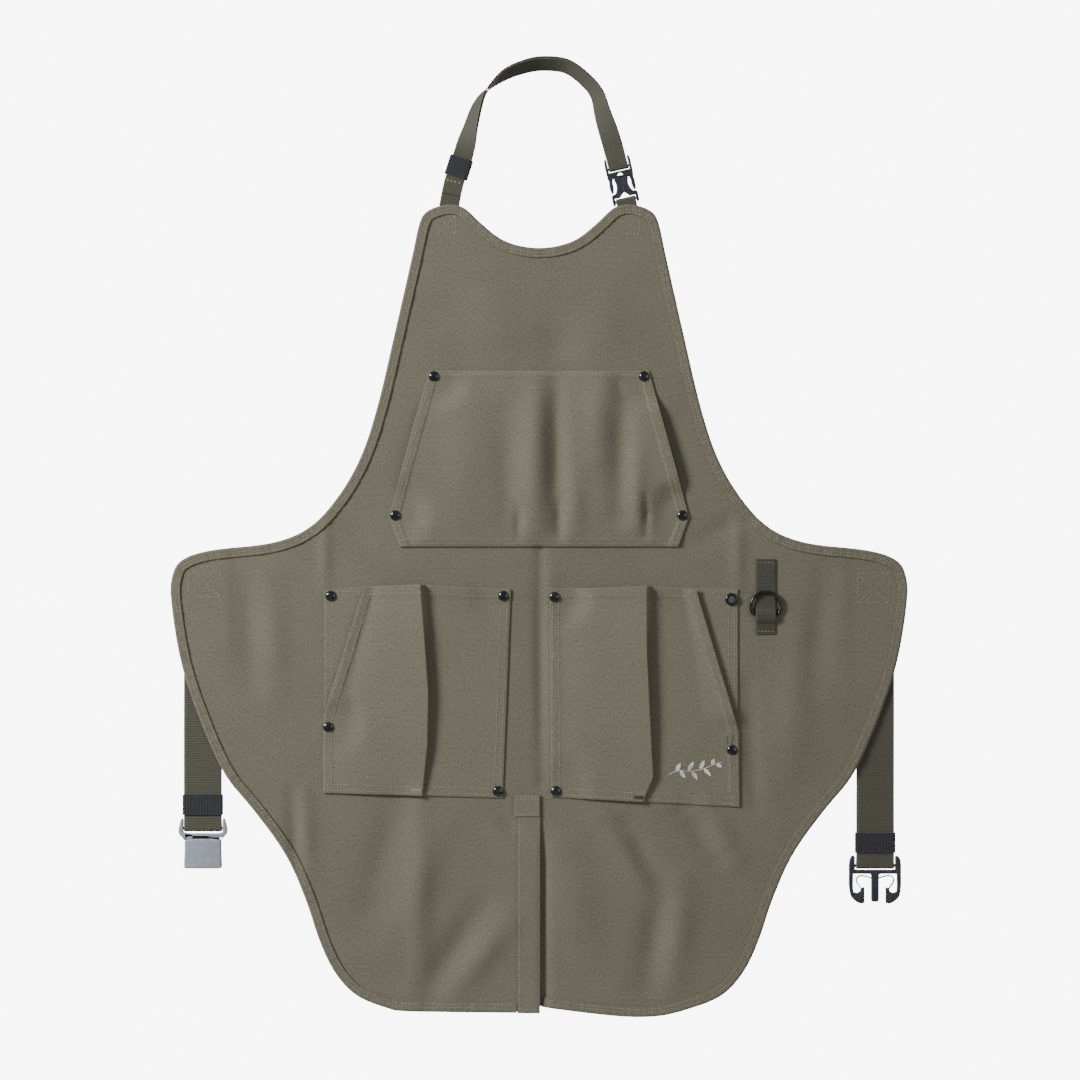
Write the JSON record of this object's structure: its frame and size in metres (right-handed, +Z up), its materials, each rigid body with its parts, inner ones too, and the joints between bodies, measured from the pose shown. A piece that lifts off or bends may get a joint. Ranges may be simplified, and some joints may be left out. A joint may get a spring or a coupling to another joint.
{
  "type": "split-leg work apron",
  "caption": "Olive canvas split-leg work apron with a bib pocket, two riveted lower pockets, webbing neck strap, waist straps and side-release buckles.",
  "frame": {"origin": "inside top of the neck strap, on the apron's centre line, where a hook or peg would carry it", "axes": "+Z up, -Y out of the apron's front, +X to the right as seen from the front; the apron hangs square to +Z"},
  "size_m": [0.7376, 0.0289, 0.9604],
  "materials": {
    "canvas": "matt woven cotton canvas",
    "binding": "matt folded canvas tape, twin stitched",
    "webbing": "dull ribbed cotton webbing",
    "elastic": "dull black woven elastic",
    "plastic": "satin moulded acetal",
    "black_metal": "gloss black lacquer"
  },
  "bodies": {
    "apron": {"apron_body": "canvas", "body_binding": "binding", "slit_tack": "canvas", "bib_pocket": "canvas", "left_pocket_front": "canvas", "left_pocket_facing": "canvas", "right_pocket_front": "canvas", "right_pocket_facing": "canvas", "ring_tab": "webbing", "neck_strap_anchor": "webbing", "neck_tab": "webbing", "neck_buckle_socket": "plastic", "left_strap_anchor": "webbing", "right_strap_anchor": "webbing", "bib_rivet_1": "black_metal", "bib_rivet_2": "black_metal", "bib_rivet_3": "black_metal", "bib_rivet_4": "black_metal", "bib_rivet_back_1": "black_metal", "bib_rivet_back_2": "black_metal", "bib_rivet_back_3": "black_metal", "bib_rivet_back_4": "black_metal", "left_pocket_rivet_1": "black_metal", "left_pocket_rivet_2": "black_metal", "left_pocket_rivet_3": "black_metal", "left_pocket_rivet_4": "black_metal", "left_pocket_rivet_back_1": "black_metal", "left_pocket_rivet_back_2": "black_metal", "left_pocket_rivet_back_3": "black_metal", "left_pocket_rivet_back_4": "black_metal", "right_pocket_rivet_1": "black_metal", "right_pocket_rivet_2": "black_metal", "right_pocket_rivet_3": "black_metal", "right_pocket_rivet_4": "black_metal", "right_pocket_rivet_back_1": "black_metal", "right_pocket_rivet_back_2": "black_metal", "right_pocket_rivet_back_3": "black_metal", "right_pocket_rivet_back_4": "black_metal"},
    "neck_strap": {"neck_strap": "webbing", "neck_buckle_plug": "plastic"},
    "neck_keeper": {"neck_keeper": "elastic"},
    "tool_ring": {"tool_ring": "black_metal"},
    "left_leg": {"left_leg": "canvas", "left_leg_binding": "binding", "slit_placket": "canvas"},
    "right_leg": {"right_leg": "canvas", "right_leg_binding": "binding"},
    "left_waist_strap": {"left_waist_strap": "webbing"},
    "left_keeper": {"left_keeper": "elastic"},
    "left_buckle": {"left_buckle_socket": "plastic"},
    "right_waist_strap": {"right_waist_strap": "webbing"},
    "right_keeper": {"right_keeper": "elastic"},
    "right_buckle": {"right_buckle_plug": "plastic", "right_buckle_left_spring": "plastic", "right_buckle_right_spring": "plastic"},
    "right_buckle_left_arm": {"right_buckle_left_arm": "plastic"},
    "right_buckle_right_arm": {"right_buckle_right_arm": "plastic"}
  },
  "joints": [
    {"name": "neck_release", "type": "slide", "parent": "apron", "child": "neck_strap", "axis": [-0.2215, 0, 0.9751], "range_m": [0, 0.03]},
    {"name": "neck_keeper_slide", "type": "slide", "parent": "neck_strap", "child": "neck_keeper", "axis": [0.309, 0, 0.9511], "range_m": [-0.003, 0.002]},
    {"name": "tool_ring_swing", "type": "hinge", "parent": "apron", "child": "tool_ring", "pos_m": [0.2265, -0.0024, -0.5455], "axis": [1, 0, 0], "range_deg": [0, 165]},
    {"name": "left_leg_swing", "type": "hinge", "parent": "apron", "child": "left_leg", "pos_m": [0, 0, -0.74], "axis": [1, 0, 0], "range_deg": [-75, 30]},
    {"name": "right_leg_swing", "type": "hinge", "parent": "apron", "child": "right_leg", "pos_m": [0, 0, -0.74], "axis": [1, 0, 0], "range_deg": [-75, 30]},
    {"name": "left_strap_swing", "type": "hinge", "parent": "apron", "child": "left_waist_strap", "pos_m": [-0.3365, 0.00255, -0.529], "axis": [1, 0, 0], "range_deg": [0, 100]},
    {"name": "left_keeper_slide", "type": "slide", "parent": "left_waist_strap", "child": "left_keeper", "axis": [0, 0, 1], "range_m": [0, 0.02]},
    {"name": "left_buckle_tilt", "type": "hinge", "parent": "left_waist_strap", "child": "left_buckle", "pos_m": [-0.3365, 0.0051, -0.7588], "axis": [1, 0, 0], "range_deg": [-60, 60]},
    {"name": "right_strap_swing", "type": "hinge", "parent": "apron", "child": "right_waist_strap", "pos_m": [0.3365, 0.00255, -0.529], "axis": [1, 0, 0], "range_deg": [0, 100]},
    {"name": "right_keeper_slide", "type": "slide", "parent": "right_waist_strap", "child": "right_keeper", "axis": [0, 0, 1], "range_m": [0, 0.04]},
    {"name": "right_buckle_tilt", "type": "hinge", "parent": "right_waist_strap", "child": "right_buckle", "pos_m": [0.3365, 0.0051, -0.7961], "axis": [1, 0, 0], "range_deg": [-60, 60]},
    {"name": "right_buckle_left_arm_squeeze", "type": "hinge", "parent": "right_buckle", "child": "right_buckle_left_arm", "pos_m": [0.3125, 0.0051, -0.8056], "axis": [0, -1, 0], "range_deg": [0, 10], "stiffness_Nm_per_rad": 0.3, "deforming": ["right_buckle_left_spring"]},
    {"name": "right_buckle_right_arm_squeeze", "type": "hinge", "parent": "right_buckle", "child": "right_buckle_right_arm", "pos_m": [0.3605, 0.0051, -0.8056], "axis": [0, 1, 0], "range_deg": [0, 10], "stiffness_Nm_per_rad": 0.3, "deforming": ["right_buckle_right_spring"]}
  ]
}
